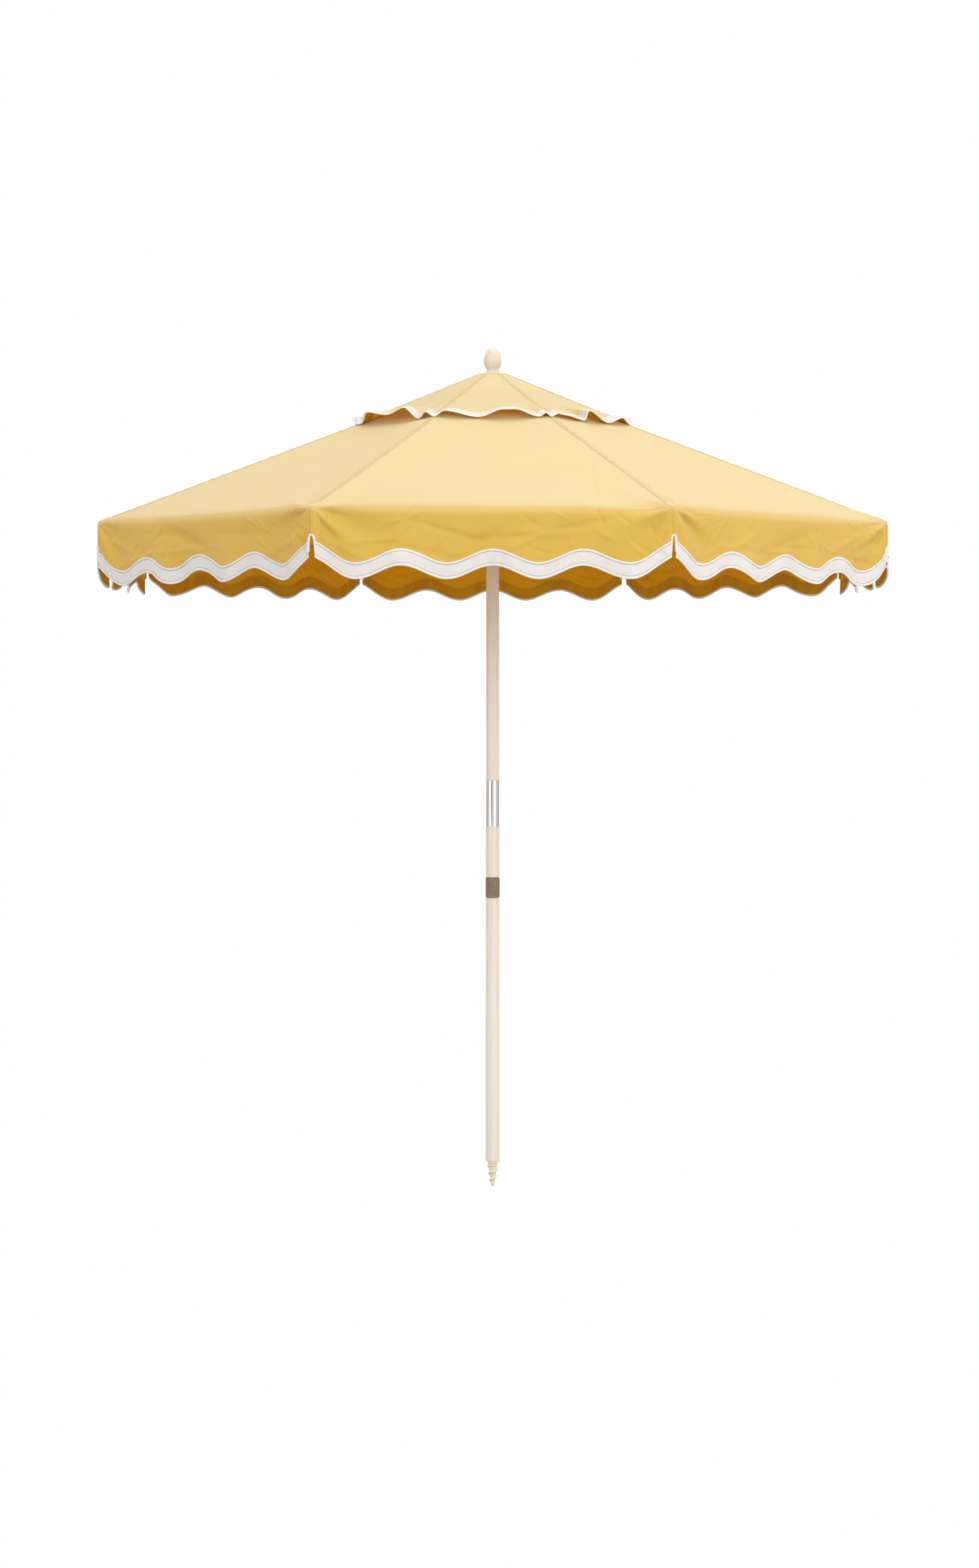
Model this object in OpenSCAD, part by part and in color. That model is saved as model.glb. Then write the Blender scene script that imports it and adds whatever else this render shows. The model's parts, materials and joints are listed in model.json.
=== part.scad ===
// Beach umbrella: an eight-panel canopy with a vent cap and a wavy hanging valance, on a folding rib frame
// and a two-piece round pole that ends in a ground screw.
// Millimetres, +Z up, origin at the point of the ground screw. The front panel faces -Y.

/* [Pole] */
// Height from the point of the ground screw to the top of the finial
total_h = 2200; // [2150:5:2300]
// Diameter of the lower pole
lower_pole_d = 35.2; // [34:0.2:38]
// Diameter of the lower pole's foot, the stretch that a base or a sand anchor holds
foot_d = 35.8; // [35:0.2:39]
// Height at which the foot stretch ends
foot_top = 432; // [300:2:600]
// Diameter of the upper pole
upper_pole_d = 33.7; // [32:0.1:35]
// Outer diameter of the steel sleeve that joins the poles
sleeve_d = 33.4; // [32:0.1:34]
// Height of the sleeve's lower rim
sleeve_z = 944; // [900:2:960]
// Length of the sleeve
sleeve_h = 122.5; // [100:0.5:130]
// Length of the ground screw below the pole
screw_h = 66; // [50:1:90]

/* [Canopy] */
// Distance from the axis to the canopy's corners
canopy_r = 1050; // [1045:1:1060]
// Height of the canopy's rim
rim_z = 1720; // [1718:1:1722]
// Slope of the canopy along its seams, as fall over run
seam_slope = 0.394; // [0.39:0.001:0.397]
// Distance from the axis to the vent cap's corners
cap_r = 375; // [340:5:420]
// Height of the valance, from the rim to the lowest point of its wave
valance_drop = 157; // [140:1:180]
// Height of the wave along the valance's lower edge, peak to peak
wave_h = 29; // [10:1:36]
// Thickness of the cloth solids
cloth = 1.6; // [1:0.1:2]

/* [Folding frame] */
// Distance from the axis to the pivots in the crown and in the runner
pivot_r = 40; // [38:1:44]
// Length of a rib from its crown pivot to its tip
rib_len = 1063; // [1040:1:1065]
// Distance from a rib's crown pivot to its strut pivot, which is also the strut's length
strut_len = 470; // [450:1:480]
// Diameter of a rib's rod
rib_d = 7; // [6:0.5:7]

/* [Badge] */
// Height of the badge's lower edge
badge_z = 758; // [600:1:840]
// Height of the badge
badge_h = 54.5; // [40:0.5:80]

/* [Hidden] */
$fn = 64;
sides = 8;
half_side = 180 / sides;
eps = 0.01;
crown_z = total_h - 95;        // height of the rib pivots
rib_fall = atan(0.392);        // the ribs' angle below level when open
strut_drop = 12;               // the strut pivot lies this far below the rod's axis
tilt = asin(strut_drop / strut_len);
open_from_upright = 90 - rib_fall - tilt;
runner_z = crown_z - 2 * strut_len * cos(open_from_upright);
eye_r = 4.8;
eye_w = 6;
slot_w = 7;
ring_r = 1.5;
pin_bore_r = 1.6;
ring_bore_r = 1.75;
hub_r = 47;
collar_r = 39.5;
collar_z = total_h - 74;
finial_z = total_h - 68;
spigot_r = 15.2;
joint_z = sleeve_z + sleeve_h / 2;
tenon_r = 13;
stud_r = 4;
rim_mid = canopy_r * cos(half_side);
mid_slope = seam_slope / cos(half_side);
valance_x = rim_mid - 2.5;
valance_top = rim_z - 1.5;
period = 2 * canopy_r * sin(half_side) / 4;
slit_z = rim_z - 68;
cap_top = total_h - 70;
catch_z = runner_z - 92;
catch_h = 40;
tack_r = 0.8;

// Turns rib i's upright plane to it, with +X outwards.
module at_rib(i) {
    rotate([0, 0, -90 - half_side + 2 * half_side * i]) children();
}

// The same for the middle of panel i.
module at_panel(i) {
    rotate([0, 0, -90 + 2 * half_side * (i - 1)]) children();
}

// Puts +X along rib i's rod, from its crown pivot.
module along_rib(i) {
    at_rib(i) translate([pivot_r, 0, crown_z]) rotate([0, rib_fall, 0]) children();
}

module tube(r_out, r_in, h) {
    difference() {
        cylinder(r = r_out, h = h);
        translate([0, 0, -eps]) cylinder(r = r_in, h = h + 2 * eps);
    }
}

// A round pin along Y, centred on the origin.
module cross_pin(r, w) {
    rotate([90, 0, 0]) cylinder(r = r, h = w, center = true);
}

// ---- Pole -------------------------------------------------------------------------------------

screw_pitch = 18;
screw_turns = 2.9;
ridge_w = 10;
function core_r(z) = 4 + 8.5 * z / screw_h;
function ridge_r(z) = 6.5 + 10.2 * pow(z / screw_h, 0.85);
function ridge_points(steps) = [
    for (i = [0:steps]) let (
        a = 360 * screw_turns * i / steps,
        z = 7 + screw_pitch * a / 360,
        end = min(1, i / 4, (steps - i) / 4),
        r = core_r(z) - 1.5,
        top = r + (ridge_r(z) - r) * end
    ) each [
        [r * cos(a), r * sin(a), z - ridge_w / 2],
        [top * cos(a), top * sin(a), z - 1],
        [top * cos(a), top * sin(a), z + 1],
        [r * cos(a), r * sin(a), z + ridge_w / 2]
    ]
];

// The thread's ridge winds up the tapered core.
module screw_ridge() {
    steps = 84;
    polyhedron(
        points = ridge_points(steps),
        faces = concat(
            [[3, 2, 1, 0], [for (k = [0:3]) 4 * steps + k]],
            [for (i = [0:steps - 1], k = [0:3]) let (n = (k + 1) % 4)
                [4 * i + k, 4 * i + n, 4 * i + 4 + n, 4 * i + 4 + k]]
        ),
        convexity = 6
    );
}

module ground_screw() {
    color("burlywood") {
        rotate_extrude()
            polygon([[0, 0], [2.5, 0], [4, 2.5], [core_r(screw_h), screw_h - 4], [16.5, screw_h - 2.5],
                     [16.5, screw_h], [10, screw_h], [10, screw_h + 40], [0, screw_h + 40]]);
        screw_ridge();
    }
}

module lower_pole() {
    r = lower_pole_d / 2;
    f = foot_d / 2;
    color("wheat") difference() {
        rotate_extrude()
            polygon([[0, screw_h], [f - 1.5, screw_h], [f, screw_h + 2], [f, foot_top], [r, foot_top + 2],
                     [r, sleeve_z - 1], [r - 1, sleeve_z], [spigot_r, sleeve_z], [spigot_r, joint_z], [0, joint_z]]);
        translate([0, 0, screw_h - eps]) cylinder(r = 10, h = 42);
        tack_bores();
        sleeve_screw_bores();
    }
}

module pole_sleeve() {
    color("silver") difference() {
        translate([0, 0, sleeve_z]) tube(sleeve_d / 2, spigot_r, sleeve_h);
        sleeve_screw_bores();
    }
}

screw_bore_r = 1.5;
screw_heights = [sleeve_z + 14, sleeve_z + 44];

module sleeve_screw_bores() {
    for (z = screw_heights)
        translate([0, sleeve_d / 2 - 12, z]) rotate([-90, 0, 0]) cylinder(r = screw_bore_r, h = 14);
}

// Two screws at the back hold the sleeve to the lower pole.
module sleeve_screws() {
    color("silver") for (z = screw_heights) {
        translate([0, sleeve_d / 2 - 12, z]) rotate([-90, 0, 0]) {
            cylinder(r = screw_bore_r, h = 12.5);
            translate([0, 0, 12]) cylinder(r1 = 3, r2 = 2, h = 1.2);
        }
    }
}

// The badge wraps the front of the pole, 1 mm thick.
// A thin plate wrapped round the front of the pole, with its four corners cut off.
module badge() {
    r = lower_pole_d / 2;
    wrap = 80;
    reach = 120;
    cut = 3.5;
    half_w = (r + 1) * sin(wrap);
    color("saddlebrown") translate([0, 0, badge_z]) difference() {
        intersection() {
            tube(r + 1, r, badge_h);
            linear_extrude(badge_h)
                polygon([[0, 0], [-reach * sin(wrap), -reach * cos(wrap)], [-reach, -reach],
                         [reach, -reach], [reach * sin(wrap), -reach * cos(wrap)]]);
            rotate([90, 0, 0]) linear_extrude(2 * r)
                polygon([[cut - half_w, 0], [half_w - cut, 0], [half_w + eps, cut], [half_w + eps, badge_h - cut],
                         [half_w - cut, badge_h], [cut - half_w, badge_h], [-half_w - eps, badge_h - cut],
                         [-half_w - eps, cut]]);
        }
        translate([0, 0, -badge_z]) tack_bores();
    }
}

tack_heights = [badge_z + 5, badge_z + badge_h - 5];

module tack_bores() {
    for (z = tack_heights)
        translate([0, 0, z]) rotate([90, 0, 0]) translate([0, 0, lower_pole_d / 2 - 8]) cylinder(r = tack_r, h = 12);
}

module badge_tacks() {
    r = lower_pole_d / 2;
    color("gold") for (z = tack_heights)
        translate([0, 0, z]) rotate([90, 0, 0]) {
            translate([0, 0, r - 8]) cylinder(r = tack_r, h = 9.2);
            translate([0, 0, r + 1]) cylinder(r1 = 2, r2 = 1.2, h = 0.6);
        }
}

module upper_pole() {
    r = upper_pole_d / 2;
    shoulder_z = sleeve_z + sleeve_h + 0.2;
    color("wheat") difference() {
        rotate_extrude()
            polygon([[0, joint_z + 1], [spigot_r - 1.1, joint_z + 1], [spigot_r - 0.1, joint_z + 3],
                     [spigot_r - 0.1, shoulder_z], [r - 0.6, shoulder_z], [r, shoulder_z + 0.8],
                     [r, crown_z - 5], [tenon_r, crown_z - 5], [tenon_r, collar_z - 2], [0, collar_z - 2]]);
        translate([0, 0, collar_z - 42]) cylinder(r = stud_r, h = 41);
        translate([-2, -1, catch_z - 3]) cube([4, 30, catch_h + 8]);
        translate([0, 8, catch_z]) rotate([0, 90, 0]) cylinder(r = 1, h = 50, center = true);
    }
}

// ---- Crown, finial, catch and runner ------------------------------------------------------------

// Slots for the eight rib eyes or strut feet, open outwards.
module eye_slots(h) {
    for (i = [1:sides])
        at_rib(i) translate([31, -slot_w / 2, 0]) cube([30, slot_w, h]);
}

module crown() {
    r = upper_pole_d / 2 + 0.05;
    color("whitesmoke") difference() {
        union() {
            translate([0, 0, crown_z - 55]) cylinder(r = 24, h = 50);
            translate([0, 0, crown_z - 11]) cylinder(r = hub_r, h = 24);
            translate([0, 0, crown_z + 12]) cylinder(r = collar_r, h = collar_z - crown_z - 12);
        }
        translate([0, 0, crown_z - 56]) cylinder(r = r, h = 51);
        translate([0, 0, crown_z - 6]) cylinder(r = tenon_r + 0.05, h = 40);
        translate([0, 0, crown_z - 12]) eye_slots(19);
        translate([0, 0, crown_z - 12]) tube(pivot_r + ring_r + 0.05, pivot_r - ring_r - 0.05, 12 + ring_r);
    }
}

// The wire ring that the eight ribs hang on.
module crown_ring() {
    color("silver") translate([0, 0, crown_z])
        rotate_extrude() translate([pivot_r, 0]) circle(r = ring_r, $fn = 24);
}

// A doubled disc of cloth at the top, clamped between crown and finial.
module canopy_collar() {
    color("khaki") translate([0, 0, collar_z]) tube(collar_r, stud_r + 0.1, finial_z - collar_z);
}

// Height and radius along the finial's turned outline, from the flange up.
finial_outline = concat(
    [[0, 0], [24, 0], [24, 1.5], [16.2, 8.6], [14.6, 10.4], [14.6, 13.2]],
    [for (a = [-50:10:60]) [23.4 * cos(a), 35 + (a < 0 ? 26.9 : 35.4) * sin(a)]],
    [[9.9, 67.2], [8.8, 68], [0, 68]]
);

module finial() {
    color("ivory") translate([0, 0, finial_z]) difference() {
        rotate_extrude() polygon(finial_outline);
        translate([0, 0, -eps]) cylinder(r = stud_r, h = 28);
    }
}

module finial_stud() {
    color("silver") translate([0, 0, collar_z - 41]) cylinder(r = stud_r, h = finial_z - collar_z + 68);
}

module catch_pin() {
    color("silver") translate([0, 8, catch_z]) rotate([0, 90, 0]) cylinder(r = 1, h = 24, center = true);
}

// A leaf at the back of the pole that holds the runner up. It springs out of its slot under the runner's rim.
module catch_spring() {
    r = upper_pole_d / 2;
    color("silver") translate([0, 8, catch_z]) difference() {
        rotate([90, 0, -90]) translate([0, 0, -1.5]) linear_extrude(3)
            polygon([[3, -2], [3, 2], [-3, catch_h - 6], [-3, catch_h], [8 - r - 5, catch_h],
                     [8 - r - 5, catch_h - 3], [8 - r + 1, catch_h - 16], [-3, 2], [-3, -2]]);
        rotate([0, 90, 0]) cylinder(r = 1.05, h = 10, center = true);
    }
}

module runner() {
    r = upper_pole_d / 2 + 0.5;
    color("whitesmoke") difference() {
        union() {
            translate([0, 0, runner_z - 50]) cylinder(r = 23, h = 70);
            translate([0, 0, runner_z - 9]) cylinder(r = hub_r, h = 18);
            translate([0, 0, runner_z - 50]) cylinder(r = 26, h = 4);
        }
        translate([0, 0, runner_z - 51]) cylinder(r = r, h = 72);
        translate([0, 0, runner_z - 10]) eye_slots(20);
    }
}

// ---- Ribs and struts ----------------------------------------------------------------------------

module rib(i) {
    color("lightgray") along_rib(i) translate([24, 0, 0]) rotate([0, 90, 0])
        cylinder(r = rib_d / 2, h = rib_len - 24 - 4);
}

// Hub eye and ferrule, strut clip with its pin, and tip cap of rib i.
module rib_fittings(i) {
    rod_r = rib_d / 2;
    clip_x = sqrt(pow(strut_len, 2) - pow(strut_drop, 2));
    color("dimgray") along_rib(i) {
        difference() {
            union() {
                cross_pin(eye_r, eye_w);
                translate([0, -eye_w / 2, -4]) cube([22, eye_w, 8]);
                translate([18, 0, 0]) rotate([0, 90, 0]) cylinder(r = 5, h = 26);
            }
            cross_pin(ring_bore_r, 2 * eye_w);
            translate([24, 0, 0]) rotate([0, 90, 0]) cylinder(r = rod_r, h = 30);
        }
        difference() {
            union() {
                translate([clip_x - 8, 0, 0]) rotate([0, 90, 0]) cylinder(r = 6, h = 16);
                for (s = [-1, 1])
                    translate([clip_x - 5, s * 4.7 - 1.5, -strut_drop - 5]) cube([10, 3, strut_drop + 5]);
            }
            translate([clip_x - 9, 0, 0]) rotate([0, 90, 0]) cylinder(r = rod_r, h = 18);
            translate([clip_x, 0, -strut_drop]) cross_pin(ring_r, 30);
        }
        translate([clip_x, 0, -strut_drop]) cross_pin(ring_r, 15);
        difference() {
            translate([rib_len - 26, 0, 0]) rotate([0, 90, 0]) cylinder(r = 5.5, h = 30);
            translate([rib_len - 27, 0, 0]) rotate([0, 90, 0]) cylinder(r = rod_r, h = 23);
        }
    }
}

// Strut i runs from its clip on the rib down to the runner.
module strut(i) {
    x = pivot_r + strut_len * sin(open_from_upright);
    z = crown_z - strut_len * cos(open_from_upright);
    color("lightgray") at_rib(i) translate([x, 0, z]) rotate([0, 90 + open_from_upright, 0]) difference() {
        union() {
            cross_pin(eye_r - 0.3, eye_w);
            translate([0, -2, -3]) cube([strut_len, 4, 6]);
            translate([strut_len, 0, 0]) cross_pin(eye_r - 0.3, eye_w);
        }
        cross_pin(pin_bore_r, 2 * eye_w);
        translate([strut_len, 0, 0]) cross_pin(ring_bore_r, 2 * eye_w);
    }
}

// ---- Cloth ----------------------------------------------------------------------------------------

// A flat gore from mid-line distance a to b, with its top surface falling by slope from height z at a.
module gore(a, b, z, slope) {
    gap = 2;
    fall = atan(slope);
    run = (b - a) / cos(fall);
    wide = [a * tan(half_side) - gap, b * tan(half_side) - gap];
    translate([a, 0, z]) rotate([0, fall, 0]) translate([0, 0, -cloth]) linear_extrude(cloth)
        polygon([[0, -wide[0]], [run, -wide[1]], [run, wide[1]], [0, wide[0]]]);
}

// Panel i: its main gore and the vent cap's gore above it.
module canopy_panel(i) {
    vent_a = 150;
    cap_a = 42;
    cap_b = cap_r * cos(half_side);
    cap_edge_z = rim_z + mid_slope * (rim_mid - cap_b) + 6;
    color("khaki") at_panel(i) {
        gore(vent_a, rim_mid, rim_z + mid_slope * (rim_mid - vent_a), mid_slope);
        gore(cap_a, cap_b, cap_top, (cap_top - cap_edge_z) / (cap_b - cap_a));
    }
}

function wave_z(y) = rim_z - valance_drop + wave_h / 2 * (1 + cos(360 * y / period));

// Valance i hangs upright from the rim, with a slit at each corner and four waves along its lower edge.
module valance(i) {
    half = canopy_r * sin(half_side);
    top = half - 3;
    low = half - 8;
    steps = 48;
    color("gold") at_panel(i) translate([valance_x, 0, 0]) rotate([90, 0, -90])
        linear_extrude(cloth)
            polygon(concat(
                [[-top, slit_z], [-top, valance_top], [top, valance_top], [top, slit_z]],
                [for (k = [0:steps]) let (y = low - 2 * low * k / steps) [y, wave_z(y)]]
            ));
}

ground_screw();
lower_pole();
pole_sleeve();
sleeve_screws();
badge();
badge_tacks();
upper_pole();
crown();
crown_ring();
canopy_collar();
finial();
finial_stud();
catch_pin();
catch_spring();
runner();
for (i = [1:sides]) {
    rib(i);
    rib_fittings(i);
    strut(i);
    canopy_panel(i);
    valance(i);
}
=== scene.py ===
"""Beach umbrella: the looks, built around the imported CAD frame. Metres, in the row frame, +Z up."""
import json
import math

import bmesh
import bpy
import numpy as np
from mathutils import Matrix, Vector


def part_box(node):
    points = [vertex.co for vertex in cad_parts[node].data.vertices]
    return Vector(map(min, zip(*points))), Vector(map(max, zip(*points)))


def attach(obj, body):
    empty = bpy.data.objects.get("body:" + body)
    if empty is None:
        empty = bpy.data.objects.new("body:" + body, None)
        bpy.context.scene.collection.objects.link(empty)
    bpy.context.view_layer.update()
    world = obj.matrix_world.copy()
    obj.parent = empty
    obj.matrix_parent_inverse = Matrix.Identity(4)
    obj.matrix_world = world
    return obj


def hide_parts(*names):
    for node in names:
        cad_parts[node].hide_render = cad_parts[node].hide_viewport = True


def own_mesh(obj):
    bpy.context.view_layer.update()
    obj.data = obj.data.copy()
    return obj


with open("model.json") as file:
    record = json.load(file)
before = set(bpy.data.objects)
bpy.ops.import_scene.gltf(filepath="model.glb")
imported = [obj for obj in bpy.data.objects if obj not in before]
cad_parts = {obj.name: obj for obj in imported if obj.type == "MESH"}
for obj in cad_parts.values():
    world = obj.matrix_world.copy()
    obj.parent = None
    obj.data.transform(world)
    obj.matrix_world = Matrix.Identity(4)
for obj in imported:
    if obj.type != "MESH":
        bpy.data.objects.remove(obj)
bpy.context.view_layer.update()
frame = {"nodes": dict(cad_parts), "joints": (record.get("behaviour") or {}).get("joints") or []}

# ---- Sizes, from the frame where it holds them -----------------------------------------------------

SIDES = 8
HALF = math.pi / SIDES
joints = {j["name"]: j for j in frame["joints"]}


def low(node):
    return np.array(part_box(node)[0], float)


def high(node):
    return np.array(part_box(node)[1], float)


RIM = -low("canopy_panel_1")[1]                 # distance from the axis to the middle of a rim edge
RIM_Z = joints["valance_hinge_1"]["pos_m"][2] + 0.001  # where the slope's line meets the valance's
SLOPE = 0.394 / math.cos(HALF)                  # fall over run along a panel's middle; over a rib it is 0.394
FALL = math.atan(SLOPE)
HEM_Z = low("valance_1")[2]                     # lowest point of the valance's wave
WAVES = 4
WAVE_H = 0.030
BAND_W = 0.0365                                 # width of the white band along the wave
STITCH_IN = 0.0055                              # from a band's edges to its stitches
TURN_UNDER = 0.0045                             # how far a band is folded under the cloth's edge
SLIT_TOP = RIM_Z - 0.062
SLIT_HALF, SLIT_MORE = 0.0054, 0.0030           # half a slit's width, and what every second one has more
VENT_HOLE = 0.150                               # radius of the hole under the vent cap
COLLAR_R = high("canopy_collar")[0]
CLOTH = 0.0009                                  # thickness of the canopy cloth
BAND = 0.0008                                   # thickness of the white band
TAN = math.tan(HALF)
CORNER = RIM * TAN                              # half the length of a rim edge
PANEL_LEN = (RIM - VENT_HOLE) / math.cos(FALL)  # from the rim up to the vent hole


def azimuth(i, at_rib=False):
    """The direction of panel i's middle, or of rib i."""
    return math.radians(-90 + 360 / SIDES * (i - 1 + (0.5 if at_rib else 0)))


def to_world(points, angle):
    """Turns points (out, along, up) to the row frame for a panel or rib at this angle."""
    p = np.asarray(points, float)
    c, s = math.cos(angle), math.sin(angle)
    return np.stack([p[..., 0] * c - p[..., 1] * s, p[..., 0] * s + p[..., 1] * c, p[..., 2]], axis=-1)


def rise(x, a, b):
    """0 before a, 1 after b, smooth between."""
    t = np.clip((x - a) / (b - a), 0, 1)
    return t * t * (3 - 2 * t)


# ---- Camera, light and floor -----------------------------------------------------------------------

CAMERA_AT, LENS, SHIFT = (0, -6.09, 1.39), 53.2, (-0.002, -0.081)
WHITE, SKY, FLOOR = 1.0, 0.98, 0.5              # the white behind it, light from the sky, the floor's grey
KEY, FILL, TOP = 105, 60, 55                    # the lamps' power in watts
FLOOR_HALF = 60


def add_camera():
    """A level camera in front of the umbrella, with a shift that puts the whole object in the frame."""
    data = bpy.data.cameras.new("camera")
    cam = bpy.data.objects.new("camera", data)
    bpy.context.scene.collection.objects.link(cam)
    cam.location = CAMERA_AT
    cam.rotation_euler = (math.radians(90), 0, 0)
    data.sensor_fit = "VERTICAL"
    data.sensor_height = 36
    data.lens = LENS
    data.shift_x, data.shift_y = SHIFT
    data.clip_end = 200
    bpy.context.scene.camera = cam


def add_area(name, place, target, size, power, colour=(1, 1, 1)):
    data = bpy.data.lights.new(name, "AREA")
    data.shape = "RECTANGLE"
    data.size, data.size_y = size
    data.energy = power
    data.color = colour
    lamp = bpy.data.objects.new(name, data)
    bpy.context.scene.collection.objects.link(lamp)
    lamp.location = place
    aim = np.array(target, float) - np.array(place, float)
    lamp.rotation_euler = [float(x) for x in aim_angles(aim)]


def aim_angles(d):
    """Euler angles that point a lamp's -Z along d."""
    flat = math.hypot(d[0], d[1])
    return math.atan2(flat, -d[2]), 0.0, math.atan2(d[1], d[0]) - math.pi / 2 if flat > 1e-6 else 0.0


def seen_white(tree, strength, other, target):
    """White of this strength to the camera, and the other shader for light."""
    mix = tree.nodes.new("ShaderNodeMixShader")
    white = tree.nodes.new("ShaderNodeEmission")
    white.inputs["Strength"].default_value = strength
    path = tree.nodes.new("ShaderNodeLightPath")
    tree.links.new(path.outputs["Is Camera Ray"], mix.inputs["Fac"])
    tree.links.new(other, mix.inputs[1])
    tree.links.new(white.outputs["Emission"], mix.inputs[2])
    tree.links.new(mix.outputs["Shader"], target)


def add_stage():
    mesh = bpy.data.meshes.new("floor")
    s = FLOOR_HALF
    mesh.from_pydata([(-s, -s, 0), (s, -s, 0), (s, s, 0), (-s, s, 0)], [], [(0, 1, 2, 3)])
    floor = bpy.data.objects.new("floor", mesh)
    bpy.context.scene.collection.objects.link(floor)
    mat = bpy.data.materials.new("floor")
    mat.use_nodes = True
    shader = mat.node_tree.nodes["Principled BSDF"]
    shader.inputs["Base Color"].default_value = (FLOOR, FLOOR, FLOOR, 1)
    shader.inputs["Roughness"].default_value = 1
    shader.inputs["Specular IOR Level"].default_value = 0
    out = mat.node_tree.nodes["Material Output"]
    seen_white(mat.node_tree, WHITE, shader.outputs["BSDF"], out.inputs["Surface"])
    mesh.materials.append(mat)
    world = bpy.data.worlds.new("studio")
    world.use_nodes = True
    back = world.node_tree.nodes["Background"]
    back.inputs["Color"].default_value = (1, 1, 1, 1)
    back.inputs["Strength"].default_value = SKY
    out = world.node_tree.nodes["World Output"]
    seen_white(world.node_tree, WHITE, back.outputs["Background"], out.inputs["Surface"])
    bpy.context.scene.world = world
    add_area("key", (3.5, -4.4, 2.3), (0, 0, 1.4), (2.2, 2.2), KEY, (1, 0.99, 0.97))
    add_area("fill", (-4.2, -4.6, 1.6), (0, 0, 1.2), (3.0, 3.0), FILL, (1, 1, 1))
    add_area("top", (0.4, -0.4, 5.6), (0, 0, 1.8), (3.4, 3.4), TOP, (1, 0.99, 0.97))
    view = bpy.context.scene.view_settings
    view.view_transform, view.look = "Standard", "None"
    view.exposure = 0.0


add_camera()
add_stage()

# ---- Materials ---------------------------------------------------------------------------------------


class Nodes:
    """A material's node tree, with short calls to add to it."""

    def __init__(self, name):
        self.mat = bpy.data.materials.new(name)
        self.mat.use_nodes = True
        self.tree = self.mat.node_tree
        self.shader = self.tree.nodes["Principled BSDF"]
        self.out = self.tree.nodes["Material Output"]

    def add(self, kind, **settings):
        node = self.tree.nodes.new(kind)
        for key, value in settings.items():
            setattr(node, key, value)
        return node

    def link(self, a, b):
        self.tree.links.new(a, b)

    def coords(self, scale, uv=None):
        """Object coordinates, or a UV map's, scaled."""
        if uv:
            source = self.add("ShaderNodeUVMap", uv_map=uv).outputs["UV"]
        else:
            source = self.add("ShaderNodeTexCoord").outputs["Object"]
        mapping = self.add("ShaderNodeMapping")
        mapping.inputs["Scale"].default_value = scale
        self.link(source, mapping.inputs["Vector"])
        return mapping.outputs["Vector"]

    def noise(self, vector, scale=1.0, detail=4.0, rough=0.55):
        node = self.add("ShaderNodeTexNoise")
        node.inputs["Scale"].default_value = scale
        node.inputs["Detail"].default_value = detail
        node.inputs["Roughness"].default_value = rough
        self.link(vector, node.inputs["Vector"])
        return node.outputs["Fac"]

    def math(self, operation, a, b):
        node = self.add("ShaderNodeMath", operation=operation)
        for k, value in enumerate((a, b)):
            if isinstance(value, (int, float)):
                node.inputs[k].default_value = value
            else:
                self.link(value, node.inputs[k])
        return node.outputs[0]

    def ramp(self, factor, stops):
        """Colours between (place, colour) stops."""
        node = self.add("ShaderNodeValToRGB")
        ramp = node.color_ramp
        while len(ramp.elements) < len(stops):
            ramp.elements.new(0.5)
        for element, (place, colour) in zip(ramp.elements, stops):
            element.position = place
            element.color = (*colour, 1)
        self.link(factor, node.inputs["Fac"])
        return node.outputs["Color"]

    def spread(self, factor, a, b):
        """A number from a to b."""
        node = self.add("ShaderNodeMapRange")
        node.inputs["To Min"].default_value = a
        node.inputs["To Max"].default_value = b
        self.link(factor, node.inputs["Value"])
        return node.outputs["Result"]

    def bump(self, height, strength, distance):
        node = self.add("ShaderNodeBump")
        node.inputs["Strength"].default_value = strength
        node.inputs["Distance"].default_value = distance
        self.link(height, node.inputs["Height"])
        return node.outputs["Normal"]

    def mix(self, factor, a, b, blend="MIX"):
        """Colour a, and colour b by the factor. Each is a value or a node's output."""
        node = self.add("ShaderNodeMix", data_type="RGBA", blend_type=blend)
        for key, value in (("Factor", factor), ("A", a), ("B", b)):
            if isinstance(value, tuple):
                node.inputs[key].default_value = (*value, 1)
            elif isinstance(value, (int, float)):
                node.inputs[key].default_value = value
            else:
                self.link(value, node.inputs[key])
        return node.outputs["Result"]

    def step(self, factor, start, end):
        """0 at start, 1 at end, smooth between."""
        node = self.add("ShaderNodeMapRange", interpolation_type="SMOOTHSTEP")
        node.inputs["From Min"].default_value = start
        node.inputs["From Max"].default_value = end
        self.link(factor, node.inputs["Value"])
        return node.outputs["Result"]

    def along_cloth(self):
        """The second coordinate of the cloth's UV map, in metres."""
        place = self.add("ShaderNodeSeparateXYZ")
        self.link(self.coords((1, 1, 1), "cloth"), place.inputs["Vector"])
        return place.outputs["Y"]

    def set(self, **values):
        for key, value in values.items():
            self.shader.inputs[key.replace("_", " ")].default_value = value


THREAD = 0.0011                                 # from one thread to the next
SHEEN_PAINT_FROM, SHEEN_PAINT_TO = 0.030, -0.045          # where the painted sheen on the top starts and is full, down from the rim


def painted_stitch_shade(m, colour, dark, place):
    """A band's colour with painted shade: a dark line of painted shadow where a row of stitches presses it
    down, and a darker middle between its raised edges.
    """
    along = m.along_cloth()
    away = m.math("ABSOLUTE", m.math("SUBTRACT", along, place), 0.0)
    # Painted shadow: a dark line along the row of stitches.
    groove_shadow = m.step(away, 0.0016, 0.0004)
    # Painted shade: the middle darker than the raised folded edges.
    middle = m.ramp(m.math("DIVIDE", along, 2 * place), [(0.45, (1, 1, 1)), (0.62, (0.93, 0.915, 0.905))])
    turned = m.mix(1, colour, middle, "MULTIPLY")
    return m.mix(groove_shadow, turned, tuple(0.66 * c for c in dark))


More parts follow.
